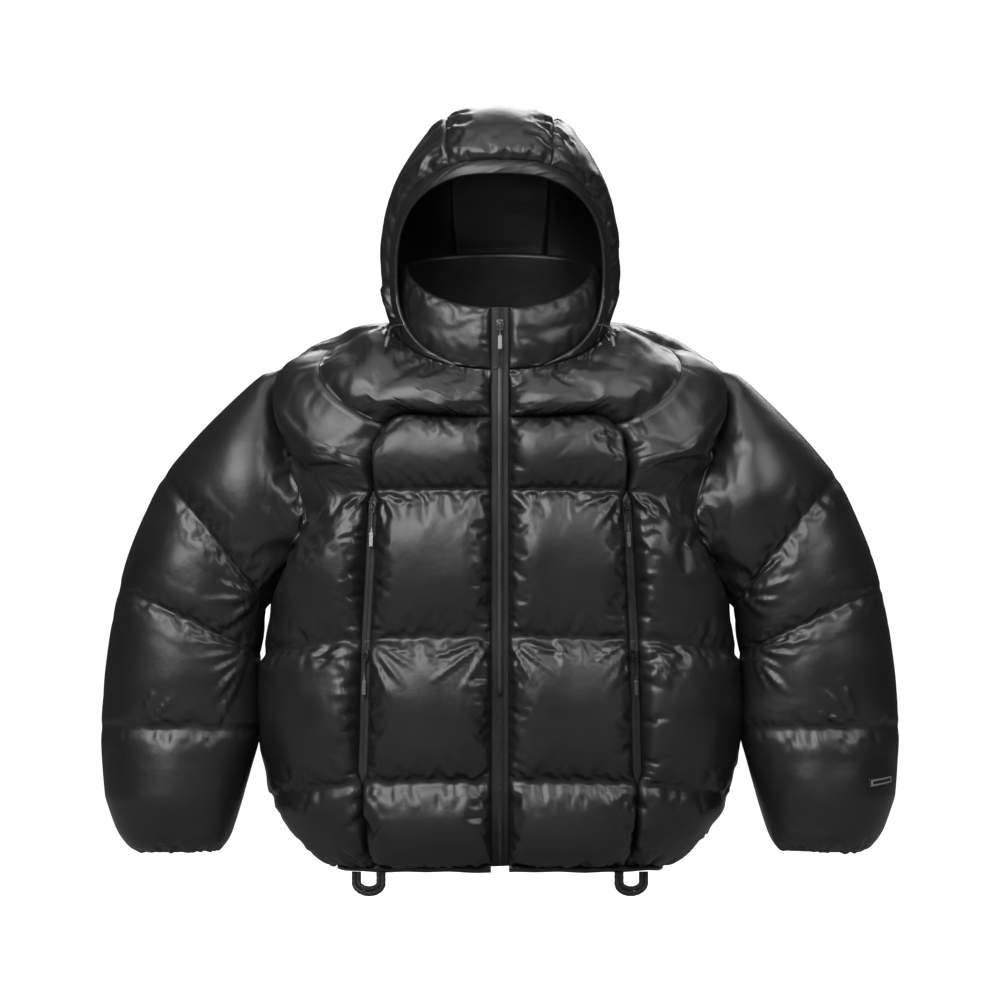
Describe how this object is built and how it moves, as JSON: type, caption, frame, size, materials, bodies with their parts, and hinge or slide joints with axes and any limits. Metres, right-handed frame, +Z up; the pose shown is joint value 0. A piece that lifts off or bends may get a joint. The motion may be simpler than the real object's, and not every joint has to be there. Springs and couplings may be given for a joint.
{
  "type": "hooded_puffer_jacket",
  "caption": "Black quilted puffer jacket with a hood, closed front zip and zipped pocket seams",
  "frame": {"origin": "between the wearer's shoulders, level with the neck points, inside the neck opening", "axes": "+Z up along the wearer, +X to the wearer's left, -Y out of the front"},
  "size_m": [0.987, 0.3189, 0.9757],
  "materials": {
    "black_nylon": "glossy woven nylon",
    "zip_tape": "matt woven tape",
    "cord": "braided",
    "cord_tip": "satin",
    "dark_metal": "satin lacquer"
  },
  "bodies": {
    "jacket": {"back": "black_nylon", "collar": "black_nylon", "cuff_patch": "black_nylon", "front_centre_left": "black_nylon", "front_centre_right": "black_nylon", "front_side_left": "black_nylon", "front_side_right": "black_nylon", "hem_casing": "black_nylon", "hem_cord_inner_left": "cord", "hem_cord_inner_right": "cord", "hem_cord_outer_left": "cord", "hem_cord_outer_right": "cord", "hood_centre": "black_nylon", "hood_cord_left": "cord", "hood_cord_right": "cord", "hood_cord_tip_left": "cord_tip", "hood_cord_tip_right": "cord_tip", "hood_rim": "black_nylon", "hood_side_left": "black_nylon", "hood_side_right": "black_nylon", "pocket_slider_lower_left": "dark_metal", "pocket_slider_lower_right": "dark_metal", "pocket_slider_upper_left": "dark_metal", "pocket_slider_upper_right": "dark_metal", "pocket_tape_lower_left": "zip_tape", "pocket_tape_lower_right": "zip_tape", "pocket_tape_upper_left": "zip_tape", "pocket_tape_upper_right": "zip_tape", "sleeve_left": "black_nylon", "sleeve_right": "black_nylon", "yoke_left": "black_nylon", "yoke_right": "black_nylon", "zip_slider": "dark_metal", "zip_tape_left": "zip_tape", "zip_tape_right": "zip_tape"},
    "pocket_pull_lower_left_body": {"pocket_pull_lower_left": "dark_metal"},
    "pocket_pull_lower_right_body": {"pocket_pull_lower_right": "dark_metal"},
    "pocket_pull_upper_left_body": {"pocket_pull_upper_left": "dark_metal"},
    "pocket_pull_upper_right_body": {"pocket_pull_upper_right": "dark_metal"},
    "zip_pull_body": {"zip_pull": "dark_metal"}
  },
  "joints": [
    {"name": "pocket_pull_lower_left_hinge", "type": "hinge", "parent": "jacket", "child": "pocket_pull_lower_left_body", "pos_m": [0.16606, -0.12692, -0.40685], "axis": [-0.9721, -0.2346, 0], "range_deg": [0, 150]},
    {"name": "pocket_pull_lower_right_hinge", "type": "hinge", "parent": "jacket", "child": "pocket_pull_lower_right_body", "pos_m": [-0.16606, -0.12692, -0.40685], "axis": [-0.9721, 0.2346, 0], "range_deg": [0, 150]},
    {"name": "pocket_pull_upper_left_hinge", "type": "hinge", "parent": "jacket", "child": "pocket_pull_upper_left_body", "pos_m": [0.15703, -0.1228, -0.22496], "axis": [-0.9784, -0.2068, 0], "range_deg": [0, 150]},
    {"name": "pocket_pull_upper_right_hinge", "type": "hinge", "parent": "jacket", "child": "pocket_pull_upper_right_body", "pos_m": [-0.15703, -0.1228, -0.22496], "axis": [-0.9784, 0.2068, 0], "range_deg": [0, 150]},
    {"name": "zip_pull_hinge", "type": "hinge", "parent": "jacket", "child": "zip_pull_body", "pos_m": [0, -0.10001, -0.00103], "axis": [-1, 0, 0], "range_deg": [0, 150]}
  ]
}
